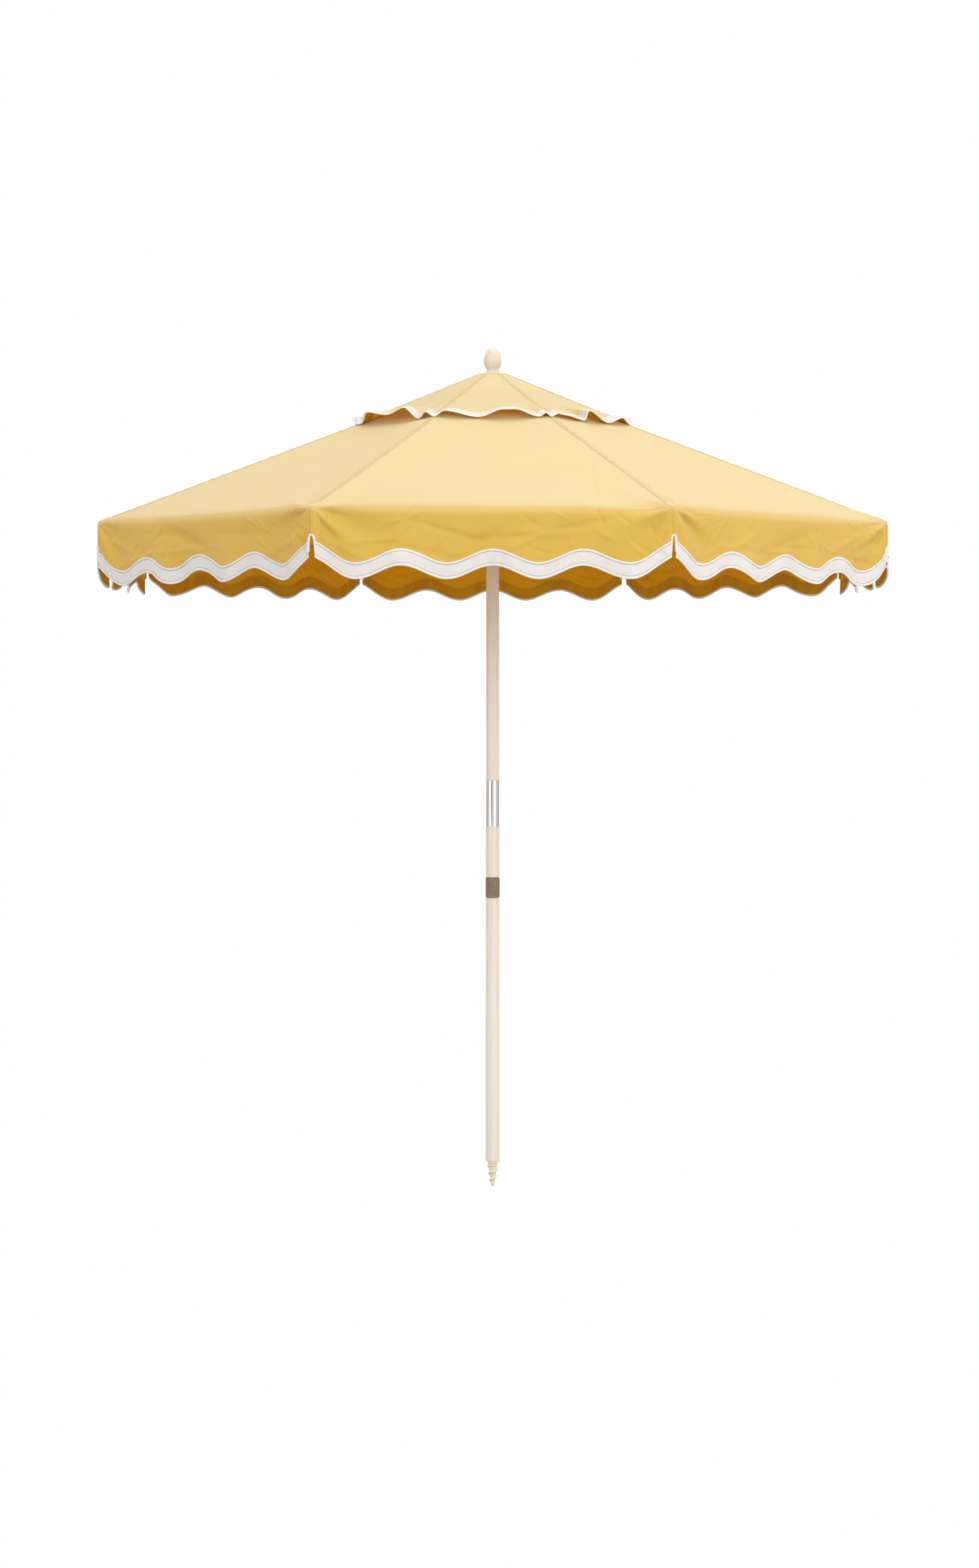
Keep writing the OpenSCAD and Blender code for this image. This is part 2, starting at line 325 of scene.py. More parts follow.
def woven(name, dark, light, through, share, sheen, painted_top_sheen=None, seam_line=None):
    """Plain-woven cloth: crossed threads and long slubs, with light that comes through it.

    The paler colour given for the top is painted above the rim's turn: painted sheen and highlight of the
    light on the top slopes.
    seam_line is where a row of stitches presses a band down, in metres from its edge; a painted shadow line
    goes there.
    """
    m = Nodes(name)
    uv = m.coords((1 / THREAD, 1 / THREAD, 1), "cloth")
    warp = m.add("ShaderNodeTexWave", wave_type="BANDS", bands_direction="X")
    weft = m.add("ShaderNodeTexWave", wave_type="BANDS", bands_direction="Y")
    for wave in (warp, weft):
        wave.inputs["Scale"].default_value = 0.5
        wave.inputs["Distortion"].default_value = 1.2
        wave.inputs["Detail"].default_value = 1
        m.link(uv, wave.inputs["Vector"])
    weave = m.math("MULTIPLY", warp.outputs["Fac"], weft.outputs["Fac"])
    along = m.noise(m.coords((26, 900, 1), "cloth"), detail=3)
    across = m.noise(m.coords((700, 22, 1), "cloth"), detail=3)
    cloud = m.noise(m.coords((6, 6, 1), "cloth"), detail=2)
    slubs = m.math("MULTIPLY", m.math("ADD", along, across), 0.5)
    tone = m.math("ADD", m.math("MULTIPLY", slubs, 0.62), m.math("MULTIPLY", cloud, 0.38))
    tone = m.math("ADD", tone, m.math("MULTIPLY", weave, 0.10))
    colour = m.ramp(tone, [(0.30, dark), (0.72, light)])
    # Above the rim's turn the colour goes over to a paler one: painted sheen and highlight of the light on the
    # top slopes.
    if painted_top_sheen:
        painted_sheen_colour = m.ramp(tone, [(0.30, tuple(0.94 * c for c in painted_top_sheen)), (0.72, painted_top_sheen)])
        colour = m.mix(m.step(m.along_cloth(), SHEEN_PAINT_FROM, SHEEN_PAINT_TO), colour, painted_sheen_colour)
    # Bands get painted shade along their stitches and in their middle.
    if seam_line:
        colour = painted_stitch_shade(m, colour, dark, seam_line)
    m.link(colour, m.shader.inputs["Base Color"])
    m.link(m.spread(slubs, 0.72, 0.92), m.shader.inputs["Roughness"])
    height = m.math("ADD", weave, m.math("MULTIPLY", slubs, 0.8))
    normal = m.bump(height, 0.35, 0.0004)
    m.link(normal, m.shader.inputs["Normal"])
    m.set(Specular_IOR_Level=0.6, Sheen_Weight=sheen, Sheen_Roughness=0.62)
    m.shader.inputs["Sheen Tint"].default_value = (1, 0.98, 0.94, 1)
    glow = m.add("ShaderNodeBsdfTranslucent")
    glow.inputs["Color"].default_value = (*through, 1)
    mix = m.add("ShaderNodeMixShader")
    mix.inputs["Fac"].default_value = share
    m.link(m.shader.outputs["BSDF"], mix.inputs[1])
    m.link(glow.outputs["BSDF"], mix.inputs[2])
    m.link(mix.outputs["Shader"], m.out.inputs["Surface"])
    return m.mat


def pale_wood(name):
    """Pale oiled ash: long grain along the pole, with fine pores."""
    m = Nodes(name)
    grain = m.noise(m.coords((55, 55, 1.6)), detail=5)
    fine = m.noise(m.coords((420, 420, 7)), detail=4)
    pores = m.noise(m.coords((900, 900, 26)), detail=2)
    tone = m.math("ADD", m.math("MULTIPLY", grain, 0.55), m.math("MULTIPLY", fine, 0.45))
    stops = [(0.32, (0.73, 0.65, 0.555)), (0.5, (0.81, 0.75, 0.67)), (0.68, (0.86, 0.81, 0.745))]
    colour = m.ramp(tone, stops)
    m.link(colour, m.shader.inputs["Base Color"])
    m.link(m.spread(fine, 0.36, 0.52), m.shader.inputs["Roughness"])
    m.link(m.bump(m.math("ADD", fine, pores), 0.25, 0.0004), m.shader.inputs["Normal"])
    m.set(Specular_IOR_Level=0.35)
    return m.mat


def painted(name, colour, shade, rough=(0.38, 0.52), grain=(60, 60, 9), depth=0.0003):
    """Paint or moulded plastic over a slightly uneven body."""
    m = Nodes(name)
    soft = m.noise(m.coords(grain), detail=3)
    speck = m.noise(m.coords((700, 700, 700)), detail=2)
    m.link(m.ramp(soft, [(0.3, shade), (0.7, colour)]), m.shader.inputs["Base Color"])
    m.link(m.spread(speck, *rough), m.shader.inputs["Roughness"])
    m.link(m.bump(m.math("ADD", soft, m.math("MULTIPLY", speck, 0.3)), 0.2, depth), m.shader.inputs["Normal"])
    m.set(Specular_IOR_Level=0.4)
    return m.mat


def brushed(name, colour, rough=(0.24, 0.40), scale=(900, 900, 6), tarnish=None):
    """Metal with fine lines, and broad streaks of tarnish if that colour is given."""
    m = Nodes(name)
    lines = m.noise(m.coords(scale), detail=4)
    dim = tuple(0.86 * c for c in colour)
    look = m.ramp(lines, [(0.25, dim), (0.75, colour)])
    if tarnish:
        broad = m.noise(m.coords((150, 150, 2)), detail=2)
        look = m.mix(m.ramp(broad, [(0.36, (1, 1, 1)), (0.45, (0, 0, 0))]), look, tarnish)
    m.link(look, m.shader.inputs["Base Color"])
    m.link(m.spread(lines, *rough), m.shader.inputs["Roughness"])
    m.link(m.bump(lines, 0.12, 0.0002), m.shader.inputs["Normal"])
    m.set(Metallic=1.0)
    return m.mat


def waxed_leather(name):
    """Brown leather with a pebbled grain and rubbed high spots."""
    m = Nodes(name)
    where = m.coords((1, 1, 1))
    pebble = m.add("ShaderNodeTexVoronoi", feature="DISTANCE_TO_EDGE")
    pebble.inputs["Scale"].default_value = 900
    m.link(where, pebble.inputs["Vector"])
    cells = m.math("MINIMUM", m.math("MULTIPLY", pebble.outputs["Distance"], 6.0), 1.0)
    streak = m.noise(m.coords((600, 600, 60)), detail=3)
    cloud = m.noise(m.coords((90, 90, 90)), detail=3)
    tone = m.math("ADD", m.math("MULTIPLY", streak, 0.5), m.math("MULTIPLY", cloud, 0.5))
    colour = m.ramp(tone, [(0.3, (0.16, 0.10, 0.065)), (0.7, (0.32, 0.22, 0.155))])
    m.link(colour, m.shader.inputs["Base Color"])
    m.link(m.spread(tone, 0.42, 0.62), m.shader.inputs["Roughness"])
    m.link(m.bump(m.math("ADD", cells, streak), 0.4, 0.0003), m.shader.inputs["Normal"])
    m.set(Specular_IOR_Level=0.5)
    return m.mat


THROUGH = (0.92, 0.60, 0.012)                    # the light that comes through golden cloth
# The paler colour given for the top slopes is painted sheen and highlight.
cloth_mat = woven(
    "golden_cloth", (0.71, 0.475, 0.060), (0.81, 0.585, 0.095), THROUGH, share=0.31, sheen=0.30,
    painted_top_sheen=(0.86, 0.745, 0.365),
)
# The inner faces' deeper orange with almost no blue, against the outer faces' paler colour, is painted shade:
# the underside's colour when lit only through the cloth.
shaded_side_cloth_mat = woven(
    "golden_cloth_inside_painted_shade", (0.74, 0.46, 0.005), (0.84, 0.54, 0.009), THROUGH, share=0.60, sheen=0.1,
)
band_mat = woven(
    "white_cloth", (0.77, 0.745, 0.71), (0.84, 0.82, 0.79), (0.75, 0.66, 0.52), share=0.07, sheen=0.12,
    seam_line=STITCH_IN,
)
fluffy = (0.6, 0.8), (900, 900, 900)             # roughness and grain of thread
# The white thread is coloured grey: painted shade for the thin dark line along each row of stitches.
thread_mat = painted("white_thread", (0.62, 0.57, 0.50), (0.52, 0.47, 0.41), *fluffy)
gold_thread_mat = painted("gold_thread", (0.50, 0.29, 0.06), (0.40, 0.22, 0.04), *fluffy)
wood_mat = pale_wood("pale_ash")
finial_mat = painted("cream_paint", (0.70, 0.63, 0.54), (0.64, 0.56, 0.46))
screw_mat = painted("cream_plastic", (0.84, 0.76, 0.58), (0.78, 0.69, 0.50), (0.30, 0.42), (40, 40, 40))
steel_mat = brushed("brushed_steel", (0.80, 0.79, 0.79), tarnish=(0.42, 0.36, 0.32))
small_steel_mat = brushed("small_steel", (0.66, 0.66, 0.67), (0.3, 0.5), (700, 700, 700))
brass_mat = brushed("old_brass", (0.55, 0.40, 0.20), (0.3, 0.5), (800, 800, 800))
leather_mat = waxed_leather("brown_leather")
plastic_mat = painted("white_plastic", (0.82, 0.80, 0.76), (0.78, 0.76, 0.72), (0.35, 0.5), (30, 30, 30))
fitting_mat = painted("grey_plastic", (0.72, 0.71, 0.69), (0.66, 0.65, 0.63), (0.35, 0.5), (30, 30, 30))
rod_mat = painted("glass_fibre", (0.74, 0.74, 0.73), (0.66, 0.66, 0.65), (0.25, 0.4), (500, 500, 500))
strut_mat = brushed("aluminium", (0.78, 0.79, 0.80), (0.3, 0.45), (500, 500, 500))

# ---- Mesh helpers --------------------------------------------------------------------------------------


def add_mesh(name, points, faces, material, uv=None):
    """A smooth piece, with the material given."""
    mesh = bpy.data.meshes.new(name)
    mesh.from_pydata(np.asarray(points, float).tolist(), [], faces)
    if uv is not None:
        layer = mesh.uv_layers.new(name="cloth")
        corner = np.empty(len(mesh.loops), dtype=np.int32)
        mesh.loops.foreach_get("vertex_index", corner)
        layer.data.foreach_set("uv", np.asarray(uv, np.float32)[corner].ravel())
    mesh.materials.append(material)
    mesh.polygons.foreach_set("use_smooth", [True] * len(mesh.polygons))
    mesh.update()
    piece = bpy.data.objects.new(name, mesh)
    bpy.context.scene.collection.objects.link(piece)
    return piece


def grid_faces(rows, cols, start=0, flip=False, around=False):
    """Quads over a grid of points, row by row. around closes each row on itself."""
    faces = []
    for r in range(rows - 1):
        for c in range(cols if around else cols - 1):
            n = (c + 1) % cols
            a, b = start + r * cols, start + (r + 1) * cols
            quad = [a + c, a + n, b + n, b + c]
            faces.append(quad[::-1] if flip else quad)
    return faces


def tube_faces(rows, cols):
    """Quads over rows that close on themselves, and a face over each end."""
    ends = [list(range(cols)), [(rows - 1) * cols + c for c in range(cols)]]
    return grid_faces(rows, cols, 0, False, True) + ends


def grid_normals(grid):
    n = np.cross(np.gradient(grid, axis=1), np.gradient(grid, axis=0))
    size = np.linalg.norm(n, axis=-1, keepdims=True)
    return n / np.maximum(size, 1e-12)


def shell(name, grid, thick, material, uv, angle):
    """A closed sheet of cloth, thick metres thick inwards from its outer face.

    grid holds that face: rows run down, and columns from left to right as seen from outside.
    """
    rows, cols = grid.shape[:2]
    inner = grid + grid_normals(grid) * thick
    points = to_world(np.concatenate([grid.reshape(-1, 3), inner.reshape(-1, 3)]), angle)
    count = rows * cols
    faces = grid_faces(rows, cols, 0, True) + grid_faces(rows, cols, count, False)
    border = (
        list(range(cols))
        + [r * cols + cols - 1 for r in range(1, rows)]
        + [(rows - 1) * cols + c for c in range(cols - 2, -1, -1)]
        + [r * cols for r in range(rows - 2, 0, -1)]
    )
    for a, b in zip(border, border[1:] + border[:1]):
        faces.append([a, b, count + b, count + a])
    flat = np.asarray(uv, float).reshape(-1, 2)
    piece = add_mesh(name, points, faces, material, np.concatenate([flat, flat]))
    # The inner faces and the edges take the deeper orange of painted shade.
    piece.data.materials.append(shaded_side_cloth_mat)
    outer = (rows - 1) * (cols - 1)
    piece.data.polygons.foreach_set("material_index", [0] * outer + [1] * (len(faces) - outer))
    piece.data.set_sharp_from_angle(angle=math.radians(50))
    return piece


def fix_outward(piece, sharp=None):
    """Makes a closed mesh's faces point outwards, and its edges hard above a turn of sharp degrees."""
    bm = bmesh.new()
    bm.from_mesh(piece.data)
    bmesh.ops.recalc_face_normals(bm, faces=bm.faces)
    bm.to_mesh(piece.data)
    bm.free()
    if sharp:
        piece.data.set_sharp_from_angle(angle=math.radians(sharp))


def lathe(name, outline, material, steps=96):
    """A solid of revolution about Z, from (radius, height) points that start and end on the axis."""
    ring = [p for p in outline if p[0] > 1e-6]
    angles = np.arange(steps) * 2 * math.pi / steps
    points = [[r * math.cos(a), r * math.sin(a), z] for r, z in ring for a in angles]
    faces = grid_faces(len(ring), steps, 0, False, True)
    bottom, top = len(points), len(points) + 1
    points += [[0, 0, outline[0][1]], [0, 0, outline[-1][1]]]
    last = (len(ring) - 1) * steps
    for c in range(steps):
        n = (c + 1) % steps
        faces.append([bottom, n, c])
        faces.append([top, last + c, last + n])
    # UVs well above the rim's turn, so cloth on a lathed piece takes the pale painted sheen of the top slopes.
    painted_sheen_uv = np.array(points)[:, :2] - [0, 0.2]
    return add_mesh(name, points, faces, material, painted_sheen_uv)


def with_panel(piece, i, body="panel"):
    """The piece hangs on panel i, or on its valance, with its own copy of its mesh."""
    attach(piece, f"{body}_{i}")
    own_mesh(piece)
    return piece


# ---- The canopy's shape --------------------------------------------------------------------------------

TURN = math.pi / 2 - FALL                        # how far the cloth turns at the rim
ROUND_MID, ROUND_CORNER = 0.026, 0.010           # radius of that turn in the middle and at the ribs
PERIOD = 2 * CORNER / WAVES                      # length of one wave of the valance
SLIT_RISE = 0.050                                # how far the lower edge rises to a slit
FANS = ((7, 0.0052), (11, 0.0036), (16, 0.0022))  # creases in each fan from a rib tip, and their height


def chance(i, k):
    """A fixed number from 0 to 1 for panel i."""
    x = math.sin(12.9898 * i + 78.233 * k) * 43758.5453
    return x - math.floor(x)


def rim_radius(k):
    return ROUND_MID + (ROUND_CORNER - ROUND_MID) * np.abs(k) ** 3


def profile(q, radius):
    """The cloth's line in a panel's middle plane: out, up and the outward direction's angle above level.

    q runs down along the cloth, from 0 at the middle of the rim's turn.
    """
    half_arc = radius * TURN / 2
    tangent = radius * np.tan(TURN / 2)
    up_slope = np.maximum(-q - half_arc, 0)
    down = np.maximum(q - half_arc, 0)
    turn = np.clip(q + half_arc, 0, 2 * half_arc) / radius
    facing = math.pi / 2 - FALL - turn
    centre_out = RIM - radius
    centre_up = RIM_Z - tangent
    out = centre_out + radius * np.cos(facing) - up_slope * math.cos(FALL)
    up = centre_up + radius * np.sin(facing) + up_slope * math.sin(FALL) - down
    return out, up, facing


def hem_z(y):
    """Height of the valance's lower edge: four waves, and a higher rise to each slit."""
    wave = HEM_Z + WAVE_H / 2 * (1 + np.cos(2 * math.pi * y / PERIOD))
    past = np.maximum(np.abs(y) - 1.5 * PERIOD, 0)
    to_slit = HEM_Z + SLIT_RISE * np.sin(math.pi / 2 * np.minimum(past / (0.56 * PERIOD), 1)) ** 2
    return np.where(np.abs(y) > 1.5 * PERIOD, to_slit, wave)


def corner_creases(i, y, z, out):
    """Creases that run out from the two rib tips, in metres of height."""
    total = np.zeros_like(y)
    for side in (-1, 1):
        dy = CORNER - side * y
        dz = RIM_Z - z
        far = np.sqrt(dy**2 + dz**2 + (RIM - out) ** 2) + 1e-6
        angle = np.arctan2(dy, np.abs(dz) + 1e-6)
        s = 2 * i + (side > 0)
        for k, (count, size) in enumerate(FANS):
            phase = 6.28 * chance(s, 3 + k)
            fold = np.sin(count * angle + phase + 5 * far)
            reach = 0.15 - 0.03 * k
            total += size * fold * rise(far, 0.0, 0.05) * np.exp(-((far / reach) ** 2)) * rise(dy, 0.0, 0.02)
    return total


def crease(y, depth, y0, d0, lean, long, wide, bend=0.0):
    """A ridge of height 1 through (y0, d0) that leans, fades over long metres, and may bend."""
    a = (y - y0) * math.cos(lean) + (depth - d0) * math.sin(lean)
    b = -(y - y0) * math.sin(lean) + (depth - d0) * math.cos(lean) + bend * a * a
    return np.exp(-((a / long) ** 2) - (b / wide) ** 2)


def valance_folds(i, y, depth, k):
    """How far the hanging cloth swings out: soft flutes that grow downwards, and slanting creases."""
    shift = 6.28 * chance(i, 1)
    flutes = 0.0062 * np.cos(2 * math.pi * y / (1.37 * PERIOD) + shift)
    flutes += 0.0040 * np.cos(2 * math.pi * y / (0.61 * PERIOD) + 2.1 * shift)
    swing = flutes * rise(depth, 0.01, 0.16) * (1 - 0.7 * np.abs(k) ** 8)
    for c in range(9):
        y0 = CORNER * (1.7 * chance(i, 10 + c) - 0.85)
        d0 = 0.03 + 0.07 * chance(i, 20 + c)
        lean = 0.9 * (chance(i, 30 + c) - 0.5)
        long, wide = 0.05 + 0.05 * chance(i, 40 + c), 0.0055 + 0.005 * chance(i, 50 + c)
        swing += 0.0033 * (1 if c % 2 else -1) * crease(y, depth, y0, d0, lean, long, wide)
    for c in range(26):
        side = 1 if c % 2 else -1
        y0 = side * (CORNER - 0.02 - 0.30 * chance(i, 60 + c) ** 1.6)
        d0 = 0.015 + 0.085 * chance(i, 90 + c)
        lean = side * (0.25 + 1.0 * chance(i, 120 + c))
        long, wide = 0.018 + 0.026 * chance(i, 150 + c), 0.0032 + 0.0022 * chance(i, 180 + c)
        sign = 1 if chance(i, 210 + c) > 0.4 else -1
        swing += 0.0020 * sign * crease(y, depth, y0, d0, lean, long, wide, bend=3)
    return swing * rise(1 - np.abs(k), 0.0, 0.05)


def panel_lift(i, k, q, y):
    """Small height changes on the sloping part of panel i."""
    up = -q
    sag = -0.007 * (1 - k**2) * rise(up, 0.02, 0.25) * (1 - rise(up, 0.6, 0.85))
    soft = 0.0012 * np.sin(5.1 * y / RIM * 2 + 6.28 * chance(i, 2)) * np.sin(7 * up + 6.28 * chance(i, 4))
    edge = (1 - np.abs(k)) * CORNER
    pucker = 0.0005 * np.sin(2 * math.pi * up / 0.031 + 6.28 * chance(i, 5)) * np.exp(-((edge / 0.02) ** 2))
    pucker += 0.0004 * np.sin(2 * math.pi * up / 0.013) * np.exp(-((edge / 0.009) ** 2))
    seam_dip = -0.0012 * np.exp(-((edge / 0.0022) ** 2))
    return (sag + soft) * (1 - np.abs(k) ** 6) + pucker * rise(up, 0.03, 0.06) + seam_dip


def panel_point(i, k, q):
    """Points of panel i and its valance: k runs from -1 to 1 across, q along the cloth."""
    radius = rim_radius(k)
    out, up, facing = profile(q, radius)
    y = k * out * TAN
    depth = np.maximum(q, 0)
    lift = np.where(q < 0, panel_lift(i, k, q, y) * rise(-q, 0.0, 0.03), 0)
    lift = lift + corner_creases(i, y, up, out) * (1 - np.abs(k) ** 20)
    lift = lift + valance_folds(i, y, depth, k)
    out = out + lift * np.cos(facing)
    up = up + lift * np.sin(facing)
    return out, k * out * TAN, up


def across(count, crowd=1.0):
    """Places from -1 to 1, closer together near the ends if crowd is above 1."""
    t = np.linspace(-1, 1, count)
    return np.sign(t) * (1 - (1 - np.abs(t)) ** crowd)


def canopy_panel(i):
    """Panel i's sloping gore, from the vent hole to the middle of the rim's turn."""
    stretches = ((PANEL_LEN, 0.30, 50), (0.30, 0.06, 50), (0.06, 0, 26))
    q = -np.unique(np.concatenate([np.linspace(*part) for part in stretches]))[::-1]
    k, q = np.meshgrid(across(161, 1.2), q)
    grid = np.stack(panel_point(i, k, q), axis=-1)
    uv = np.stack([grid[..., 1], q], axis=-1)
    piece = shell(f"canopy_panel_cloth_{i}", grid, CLOTH, cloth_mat, uv, azimuth(i))
    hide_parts(f"canopy_panel_{i}")
    with_panel(piece, i)


def slit_gap(i, k, z):
    """Half the opening of the slit at a corner, at height z."""
    corner = np.where(k > 0, i, (i + SIDES - 2) % SIDES + 1)
    wide = SLIT_HALF + SLIT_MORE * np.where(corner % 2 == 0, 1, 0)
    return wide * np.clip((SLIT_TOP - z) / 0.045, 0, 1.3) ** 0.25


def cloth_length(k):
    """Length of cloth from the middle of the rim's turn to the hem."""
    radius = rim_radius(k)
    return RIM_Z - hem_z(k * (CORNER - 0.003)) - radius * np.tan(TURN / 2) + radius * TURN / 2


def valance_point(i, k, q):
    """Points of valance i at q metres of cloth below the middle of the rim's turn."""
    out, y, up = panel_point(i, k, q)
    return out, y - np.sign(k) * slit_gap(i, k, up) * np.abs(k) ** 24, up


LAP = 0.009                                      # the valance's top edge lies this far under the panel
COLUMNS = across(321, 1.1)                       # of a cloth's edge and of its band, so that both bend alike


def valance(i):
    """Panel i's hanging flap, with two rows lapped under the panel."""
    rows = 58
    k, share = np.meshgrid(COLUMNS, np.linspace(0, 1, rows))
    lap = np.array([-LAP, -0.0012] + [0.0] * (rows - 2))[:, None]
    q = np.where(lap < 0, lap, np.clip(share * (rows - 1) - 2, 0, rows - 3) / (rows - 3) * cloth_length(k))
    grid = np.stack(valance_point(i, k, q), axis=-1)
    grid += grid_normals(grid) * (1.15 * CLOTH * (q < 0))[..., None]
    uv = np.stack([grid[..., 1], q + 0 * k], axis=-1)
    piece = shell(f"valance_cloth_{i}", grid, CLOTH, cloth_mat, uv, azimuth(i))
    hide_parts(f"valance_{i}")
    with_panel(piece, i, "valance")


def lifted(surface, k, d, proud):
    """Points at distance d from an edge on a surface, proud of its outer face, and the way down to the edge.

    surface(k, d) gives (out, y, up).
    """
    e = 0.0006
    point = lambda k, d: np.stack(surface(k, d), axis=-1)
    at = point(k, d)
    along = point(np.clip(k + e, -1, 1), d) - point(np.clip(k - e, -1, 1), d)
    down = at - point(k, d + e)
    n = np.cross(down, along)
    n /= np.maximum(np.linalg.norm(n, axis=-1, keepdims=True), 1e-12)
    return at + n * np.asarray(proud)[..., None], down / np.linalg.norm(down, axis=-1, keepdims=True)


def edge_band(name, surface, angle, width):
    """A white band along a cloth edge: topstitched at its top, and turned round the edge at its bottom."""
    k = COLUMNS
    fold = 0.0042
    # Its section: the distance from the edge, and how far it stands proud of the cloth.
    rows = [
        (width, 0.0001), (width, BAND * 1.9), (width - 0.4 * fold, BAND * 2.7), (width - fold, BAND * 2.1),
        (width - fold - 0.0010, BAND * 1.0), (0.74 * width, BAND * 1.5), (0.62 * width, BAND * 1.7),
        (0.5 * width, BAND * 1.7), (0.38 * width, BAND * 1.7), (0.26 * width, BAND * 1.5),
        (fold + 0.0010, BAND * 1.0), (fold, BAND * 2.1), (0.5 * fold, BAND * 2.7), (0.0, BAND * 2.2),
        (-0.0013, BAND * 0.7), (-0.0013, -CLOTH - 0.4 * BAND), (0.0004, -CLOTH - BAND * 1.3),
        (TURN_UNDER - 0.0006, -CLOTH - BAND * 1.2), (TURN_UNDER, 0.0), (0.26 * width, 0.0),
        (0.38 * width, 0.0), (0.5 * width, 0.0), (0.62 * width, 0.0), (0.74 * width, 0.0), (0.88 * width, 0.0),
    ]
    grid = []
    for d, proud in rows:
        if fold < d < width - fold:
            pucker = np.sin(23 * k + 40 * d + 6 * np.sin(9 * k))
            pucker += 0.7 * np.sin(61 * k - 90 * d + 4 * np.sin(17 * k))
            proud = proud + 0.0004 * pucker * rise(1 - np.abs(k), 0, 0.05)
        at, down = lifted(surface, k, np.full_like(k, max(d, 0.0)), proud)
        grid.append(at + down * max(-d, 0.0))
    grid = np.stack(grid)
    from_edge = np.array([min(d, width - d) for d, _ in rows])[:, None]
    uv = np.stack([grid[..., 1], np.broadcast_to(from_edge, grid.shape[:2])], axis=-1)
    n, cols = grid.shape[:2]
    faces = grid_faces(n, cols, 0, True)
    faces += [[c, c + 1, (n - 1) * cols + c + 1, (n - 1) * cols + c] for c in range(cols - 1)]
    faces.append([r * cols for r in range(n)])
    faces.append([r * cols + cols - 1 for r in range(n - 1, -1, -1)])
    piece = add_mesh(name, to_world(grid.reshape(-1, 3), angle), faces, band_mat, uv.reshape(-1, 2))
    fix_outward(piece, sharp=50)
    return piece


STITCH, STITCH_GAP, STITCH_THICK = 0.0027, 0.0011, 0.00042


def stitches(name, lines, material, angle):
    """Rows of thread, one short raised stitch after another. Each line is (points, normals) along its row."""
    size, gap, thick = STITCH, STITCH_GAP, STITCH_THICK
    points, faces = [], []
    for path, normals in lines:
        step = np.linalg.norm(np.diff(path, axis=0), axis=1)
        run = np.concatenate([[0], np.cumsum(step)])
        starts = np.arange(gap, run[-1] - size, size + gap)
        on = lambda line, t: np.stack([np.interp(t, run, line[:, c]) for c in range(3)], axis=-1)
        a, m, b = on(path, starts), on(path, starts + size / 2), on(path, starts + size)
        n = on(normals, starts + size / 2)
        n /= np.linalg.norm(n, axis=1, keepdims=True)
        side = np.cross(b - a, n)
        side /= np.linalg.norm(side, axis=1, keepdims=True)
        base = len(points)
        for j in range(len(starts)):
            o = base + 6 * j
            points += [a[j], m[j] + side[j] * thick, b[j], m[j] - side[j] * thick]
            points += [m[j] + n[j] * thick * 1.4, m[j] - n[j] * thick]
            for u, v in ((0, 1), (1, 2), (2, 3), (3, 0)):
                faces.append([o + u, o + v, o + 4])
                faces.append([o + v, o + u, o + 5])
    piece = add_mesh(name, to_world(np.array(points), angle), faces, material)
    fix_outward(piece)
    return piece


def along_edge(surface, d, proud, k):
    """A row for stitches at distance d from an edge: its points and their outward directions."""
    low_points, _ = lifted(surface, k, np.full_like(k, d), proud)
    high_points, _ = lifted(surface, k, np.full_like(k, d), proud + 0.001)
    return low_points, high_points - low_points


def trim(kind, surface, i, width, body="panel"):
    """The white band along an edge of panel i, and its two rows of stitches."""
    with_panel(edge_band(f"{kind}_band_{i}", surface, azimuth(i), width), i, body)
    rows = [along_edge(surface, d, BAND, COLUMNS[3:-3]) for d in (STITCH_IN, width - STITCH_IN)]
    with_panel(stitches(f"{kind}_stitches_{i}", rows, thread_mat, azimuth(i)), i, body)


def valance_trim(i):
    """The valance's band and stitches, and the binding round each slit."""
    surface = lambda k, d: valance_point(i, k, cloth_length(k) - d)
    trim("valance", surface, i, BAND_W, "valance")
    for side in (-1, 1):
        with_panel(slit_binding(i, side, surface), i, "valance")


def slit_binding(i, side, surface):
    """A folded white strip up one side of a slit, and half of the arch over its top."""
    ends = np.array([float(side)])
    top = float(cloth_length(ends)[0]) - (RIM_Z - SLIT_TOP)
    width, over = 0.0050, 0.0006                 # the strip's width, and how far it stands out past the cloth
    spring, crest = top - 0.006, top + 0.005     # where the arch starts and where it ends
    turn = np.sin(np.linspace(0, 0.48 * math.pi, 12))
    heights = np.concatenate([np.linspace(0.012, spring, 20)[:-1], spring + (crest - spring) * turn])
    share = np.array([0, 0.24, 0.72, 1, 1, 0])   # the strip's section: across it, and proud of the cloth
    proud = np.array([0.0012, 0.0024, 0.0024, 0.0012, -0.0021, -0.0023])
    rows = []
    for h in heights:
        at, _ = lifted(surface, ends * 0.9995, np.array([h]), 0.0)
        at = at[0]
        corner = at[0] * TAN
        gap = corner - abs(at[1])
        if h <= spring:
            base = gap
        inner = max(gap - over, 0)
        outer = (base - over + width) * math.sqrt(1 - (max(h - spring, 0) / (crest - spring)) ** 2)
        across_strip = side * (corner - inner - (outer - inner) * share)
        rows.append(np.stack([at[0] + proud, across_strip, np.full_like(share, at[2])], axis=-1))
    grid = np.array(rows)
    uv = np.stack([grid[..., 1], np.full(grid.shape[:2], 0.001)], axis=-1)
    name = f"slit_binding_{i}_{'left' if side < 0 else 'right'}"
    points = to_world(grid.reshape(-1, 3), azimuth(i))
    piece = add_mesh(name, points, tube_faces(*grid.shape[:2]), band_mat, uv.reshape(-1, 2))
    fix_outward(piece, sharp=50)
    return piece


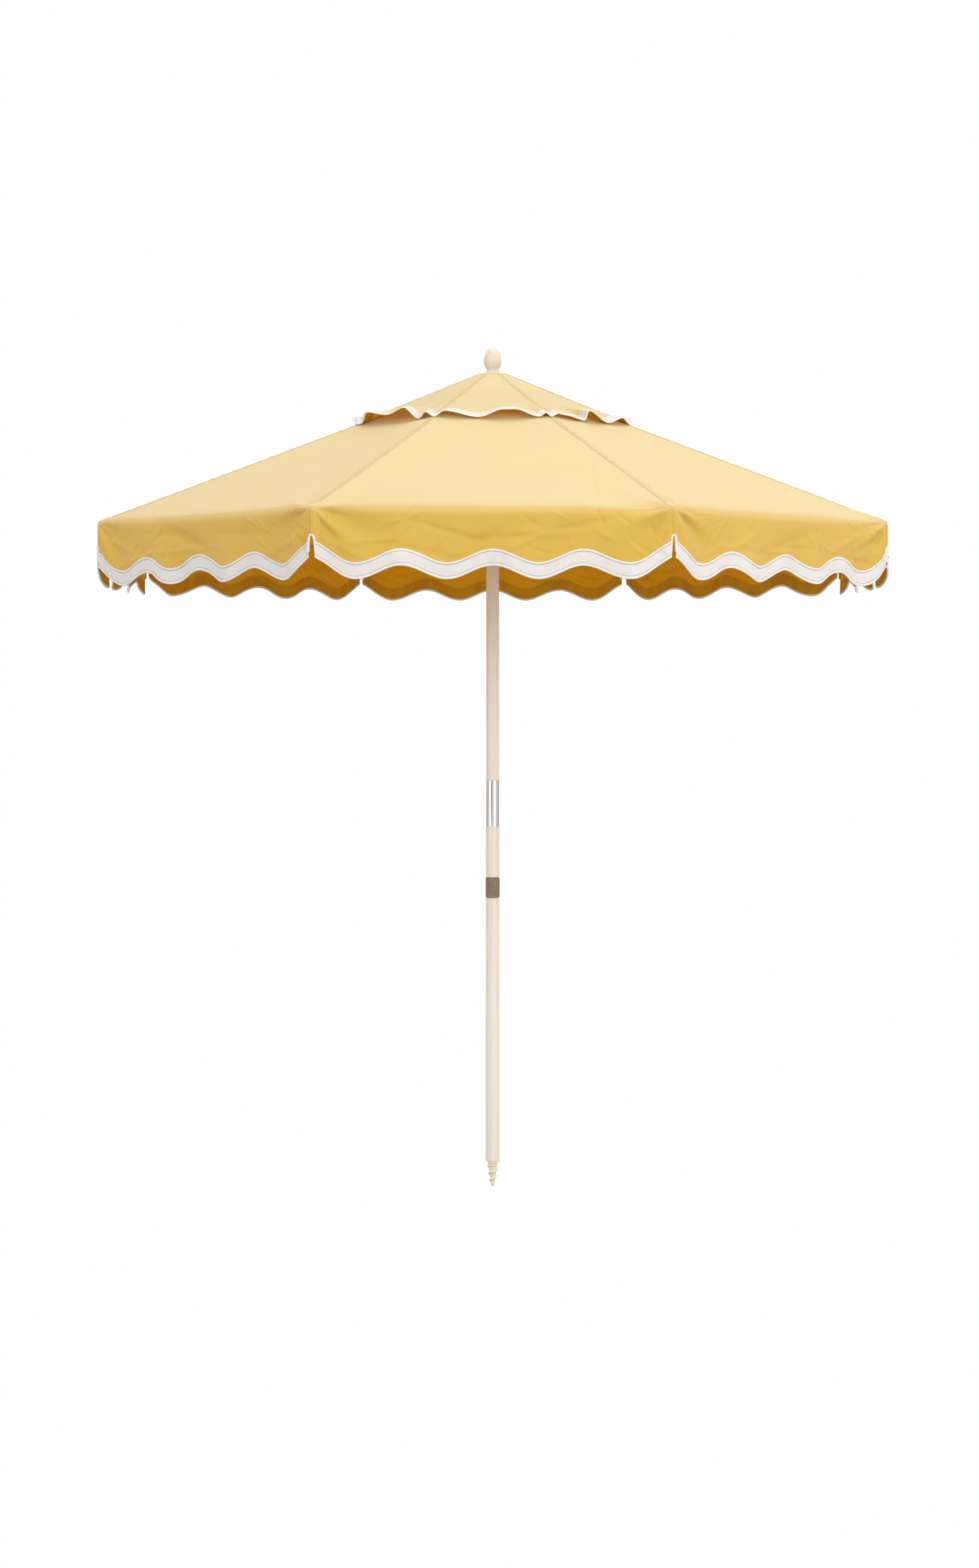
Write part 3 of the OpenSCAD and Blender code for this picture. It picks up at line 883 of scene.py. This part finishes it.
def over_rib(surface, i, v, d, proud):
    """Points over rib i, in its own frame (out, along, up).

    They are v metres to its side, on gore i or on the next one, at distance d along the cloth.
    """
    v, d = np.broadcast_arrays(np.asarray(v, float), np.asarray(d, float))
    result = np.empty(v.shape + (3,))
    for side, gore in ((-1, i), (1, i % SIDES + 1)):
        mine = (v < 0) if side < 0 else (v >= 0)
        if mine.any():
            width = surface(gore, np.zeros(mine.sum()), d[mine])[0] * TAN
            k = -side * (1 - np.abs(v[mine]) / width)
            at, _ = lifted(lambda k, d: surface(gore, k, d), k, d[mine], proud)
            out, y, up = at[..., 0], at[..., 1], at[..., 2]
            c, s = math.cos(HALF), -side * math.sin(HALF)
            result[mine] = np.stack([out * c + y * s, -out * s + y * c, up], axis=-1)
    return result


def gore_point(i, k, d):
    """Points of panel i at d metres of cloth above the middle of the rim's turn."""
    return panel_point(i, k, -d)


def seam(name, i, surface, places, half):
    """A felled seam over rib i, with a row of stitches near both of its edges. It goes with the rib."""
    side = [(half, -0.0002), (half, 0.0008), (half - 0.0005, 0.0011), (0.0003, 0.0010)]
    strip = [(-v, p) for v, p in side] + side[::-1]
    grid = np.stack([over_rib(surface, i, v, places, p) for v, p in strip], axis=1)
    size = grid.shape[:2]
    beside = np.broadcast_to(np.array([v for v, _ in strip]), size)
    # UVs above the rim's turn: the seam takes the cloth's painted sheen of the top.
    flat = np.stack([beside, np.broadcast_to(-places[:, None] - 0.05, size)], axis=-1)
    points = to_world(grid.reshape(-1, 3), azimuth(i, True))
    piece = add_mesh(name, points, tube_faces(*size), cloth_mat, flat.reshape(-1, 2))
    fix_outward(piece, sharp=40)
    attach(piece, f"rib_{i}")
    rows = []
    for v in (0.0016 - half, half - 0.0016):
        a = over_rib(surface, i, v, places, 0.0010)
        rows.append((a, over_rib(surface, i, v, places, 0.0020) - a))
    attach(stitches(name + "_stitches", rows, gold_thread_mat, azimuth(i, True)), f"rib_{i}")


CORNER_STITCHES = 0.0032                         # from a corner's edge to the stitches above its slit


def seams(i):
    """The seams over rib i on canopy and cap, and the stitches beside panel i's two corners."""
    seam(f"main_seam_{i}", i, gore_point, np.linspace(0.006, PANEL_LEN - 0.002, 260), 0.0058)
    seam(f"cap_seam_{i}", i, cap_point, np.linspace(0.0262, CAP_LEN - 0.001, 90), 0.0048)
    hanging = lambda k, d: valance_point(i, k, -d)
    q = np.linspace(0.006, RIM_Z - SLIT_TOP - 0.004, 40)
    rows = []
    for side in (-1, 1):
        k = side * (1 - CORNER_STITCHES / CORNER) * np.ones_like(q)
        a = lifted(hanging, k, -q, 0.0)[0]
        rows.append((a, lifted(hanging, k, -q, 0.001)[0] - a))
    with_panel(stitches(f"corner_stitches_{i}", rows, gold_thread_mat, azimuth(i)), i, "valance")


# ---- The vent cap -------------------------------------------------------------------------------------

CAP_TOP = 2.1305                                 # height of the cap's cloth where the collar starts
CAP_BAND_W = 0.0255
CAP_LOOSE = 0.15                                 # how far up from its edge the cap's cloth is loose
CAP_IN = COLLAR_R + 0.0006
CAP_OUT = 0.375 * math.cos(HALF) + 0.006         # in a gore's middle; 0.375 is over a rib
CAP_LOW = RIM_Z + SLOPE * (RIM - CAP_OUT) + 0.0035
CAP_LEN = math.hypot(CAP_OUT - CAP_IN, CAP_TOP - CAP_LOW)
CAP_FALL = math.atan2(CAP_TOP - CAP_LOW, CAP_OUT - CAP_IN)
# Places across a gore, and there how far the loose edge stands up and leans sideways, in millimetres.
# Each gore also has such a place at both of its ends, where the seams hold it down.
RUFFLES = {
    7: [(-0.7, 20, 3), (-0.3, -1, 0), (0.05, 17, 4), (0.36, -1, 0), (0.70, 22, 5), (0.93, 3, 0)],
    3: [(-0.93, 3, 0), (-0.68, 20, -5), (-0.34, -1, 0), (0.02, 19, -3), (0.42, -1, 0), (0.80, 15, 0)],
    8: [(-0.88, 0, 0), (-0.56, 29, -8), (-0.12, 17, 0), (0.28, 31, 9), (0.60, -1, 3), (0.84, 13, 0)],
    1: [(-0.84, 15, 3), (-0.24, -1, 0), (0.22, 19, -5), (0.36, 19, 3), (0.78, 0, 2), (0.91, 9, 0)],
    2: [(-0.86, 9, 0), (-0.66, 7, 2), (-0.24, -1, 9), (-0.06, 25, -10), (0.44, -1, 0), (0.80, 16, -3)],
}


def ruffle(i, k):
    """How far gore i's loose edge stands up, and how far it leans sideways."""
    knots = RUFFLES.get(i)
    if knots is None:
        r = [chance(i, 60 + c) for c in range(6)]
        knots = [
            (-0.86, 9 * r[0], 0), (-0.60 + 0.1 * r[1], 16 + 12 * r[2], 6 * r[3] - 3), (-0.22, -1, 3),
            (0.02 + 0.1 * r[4], 9, 0), (0.34, 18 + 12 * r[5], 7 * r[1] - 3), (0.68, -1, -3),
            (0.88, 10 * r[3], 0),
        ]
    knots = np.array([(-1, 0, 0), *knots, (1, 0, 0)], float)
    lift, lean = np.zeros_like(k), np.zeros_like(k)
    for a, b in zip(knots[:-1], knots[1:]):
        t = rise(k, a[0], b[0])
        inside = (k >= a[0]) & (k <= b[0])
        lift = np.where(inside, a[1] + (b[1] - a[1]) * t, lift)
        lean = np.where(inside, a[2] + (b[2] - a[2]) * t, lean)
    return lift / 1000, lean / 1000


def cap_point(i, k, d):
    """Points of cap gore i: k runs across, d is the distance from its loose edge."""
    s = 1 - d / CAP_LEN
    lift, lean = ruffle(i, k)
    w = np.clip((CAP_LOOSE - d) / CAP_LOOSE, 0, 1) ** 1.8
    h = lift * w - 0.002 * (1 - k**2) * np.sin(math.pi * np.clip(s, 0, 1))
    edge = (1 - np.abs(k)) * CAP_OUT * TAN
    pucker = 0.0007 * np.sin(2 * math.pi * d / 0.027 + 6.28 * chance(i, 71))
    h = h + pucker * np.exp(-((edge / 0.016) ** 2)) * (np.abs(k) < 1)
    h = h - 0.0009 * np.exp(-((edge / 0.0022) ** 2))
    top = CAP_IN * np.cos(k * HALF)
    out = top + (CAP_OUT - top) * s
    up = CAP_TOP + (CAP_LOW - CAP_TOP) * s
    y = k * out * TAN + lean * w
    return out + h * math.sin(CAP_FALL), y, up + h * math.cos(CAP_FALL)


def cap_gore(i):
    """Gore i of the vent cap, with its band and stitches."""
    rows = np.concatenate([np.linspace(CAP_LEN, CAP_LOOSE, 16)[:-1], np.linspace(CAP_LOOSE, 0, 34)])
    k, d = np.meshgrid(COLUMNS, rows)
    grid = np.stack(cap_point(i, k, d), axis=-1)
    uv = np.stack([grid[..., 1], -d], axis=-1)
    piece = shell(f"vent_cap_cloth_{i}", grid, CLOTH, cloth_mat, uv, azimuth(i))
    with_panel(piece, i)
    trim("vent_cap", lambda k, d: cap_point(i, k, d), i, CAP_BAND_W)


def collar():
    """The doubled cloth disc that finial and crown clamp."""
    r, z = COLLAR_R, low("canopy_collar")[2]
    t = high("canopy_collar")[2] - z
    outline = [(0, z), (r * 0.98, z), (r, z + 0.2 * t), (r, z + 0.8 * t), (r * 0.985, z + t), (0, z + t)]
    piece = lathe("canopy_collar_cloth", outline, cloth_mat)
    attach(piece, "upper")
    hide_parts("canopy_collar")


def finial():
    """The turned egg on its flange. Heights and radii of its outline are in millimetres, from its foot up."""
    foot = low("finial")[2]
    flange = [(0, 0), (23.6, 0), (24, 0.4), (24, 1.3), (23.6, 1.9)]
    neck = [(16.4, 8.5), (15, 9.9), (14.6, 11), (14.6, 13.4)]
    turn = np.radians(np.linspace(-51, 63, 39))[1:]
    egg = [(23.4 * math.cos(a), 35 + (26.9 if a < 0 else 35.4) * math.sin(a)) for a in turn]
    flat_top = [(10.2, 66.9), (9.6, 67.6), (8.8, 67.95), (7.5, 68), (0, 68)]
    outline = flange + neck + egg + flat_top
    piece = lathe("finial_turned", [(r / 1000, foot + z / 1000) for r, z in outline], finial_mat)
    piece.data.set_sharp_from_angle(angle=math.radians(40))
    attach(piece, "upper")
    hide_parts("finial")


for i in range(1, SIDES + 1):
    canopy_panel(i)
    valance(i)
    valance_trim(i)
    seams(i)
    cap_gore(i)
collar()
finial()

# ---- Rib tip pockets and the ring in the runner ---------------------------------------------------------


def pocket(i):
    """The small doubled patch that holds rib i's tip, over the corner of two panels."""
    turns, rings = 40, 9
    half_width, half_length, middle = 0.0120, 0.019, 0.018
    power = 1.25                                 # between a diamond, 1, and an ellipse, 2
    points = []
    a = 2 * math.pi * np.arange(turns) / turns
    u, v = np.cos(a), np.sin(a)
    for r in range(rings + 1):
        share = 1 - r / rings
        size = share / (np.abs(u) ** power + np.abs(v) ** power) ** (1 / power)
        proud = 0.0012 + 0.0024 * math.sqrt(max(0.0, 1 - share**2)) - (0.0016 if r == 0 else 0)
        points.append(over_rib(gore_point, i, half_width * v * size, middle - half_length * u * size, proud))
    points = np.concatenate(points)
    # UVs above the rim's turn: the pocket takes the cloth's painted sheen of the top.
    uv = points[:, 1::-1] - [0, RIM / math.cos(HALF) + 0.03]
    faces = tube_faces(rings + 1, turns)
    piece = add_mesh(f"tip_pocket_{i}", to_world(points, azimuth(i, True)), faces, cloth_mat, uv)
    fix_outward(piece, sharp=50)
    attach(piece, f"rib_{i}")


def ring(name, radius, height, thick, material, body):
    """A closed wire ring about the pole's axis."""
    turns, sides = 96, 14
    points, faces = [], []
    for c in range(turns):
        a = 2 * math.pi * c / turns
        n = (c + 1) % turns
        for j in range(sides):
            b = 2 * math.pi * j / sides
            r = radius + thick * math.cos(b)
            points.append([r * math.cos(a), r * math.sin(a), height + thick * math.sin(b)])
            m = (j + 1) % sides
            faces.append([c * sides + j, n * sides + j, n * sides + m, c * sides + m])
    piece = add_mesh(name, points, faces, material)
    fix_outward(piece)
    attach(piece, body)


for number in range(1, SIDES + 1):
    pocket(number)
PIVOT_R, RING_THICK = 0.040, 0.0015              # radius of the runner's ring, and of its wire
STRUT, RIB_SLOPE, CLIP_DROP = 0.470, 0.392, 0.012
STRUT_LEAN = math.radians(90) - math.atan(RIB_SLOPE) - math.asin(CLIP_DROP / STRUT)  # from upright
RUNNER_Z = joints["rib_hinge_1"]["pos_m"][2] - 2 * STRUT * math.cos(STRUT_LEAN)
ring("runner_ring", PIVOT_R, RUNNER_Z, RING_THICK, small_steel_mat, "runner")

# ---- Materials of the CAD pieces -------------------------------------------------------------------------

CAD_LOOKS = {
    "ground_screw": screw_mat, "lower_pole": wood_mat, "upper_pole": wood_mat, "pole_sleeve": steel_mat,
    "sleeve_screws": small_steel_mat, "badge": leather_mat, "badge_tacks": brass_mat, "crown": plastic_mat,
    "crown_ring": small_steel_mat, "finial_stud": small_steel_mat,
    "catch_pin": small_steel_mat, "catch_spring": small_steel_mat, "runner": plastic_mat,
}
for name, node in frame["nodes"].items():
    look = CAD_LOOKS.get(name)
    if name.startswith("rib_fittings"):
        look = fitting_mat
    elif name.startswith("rib_"):
        look = rod_mat
    elif name.startswith("strut"):
        look = strut_mat
    if look:
        for place in node.material_slots:
            place.material = look
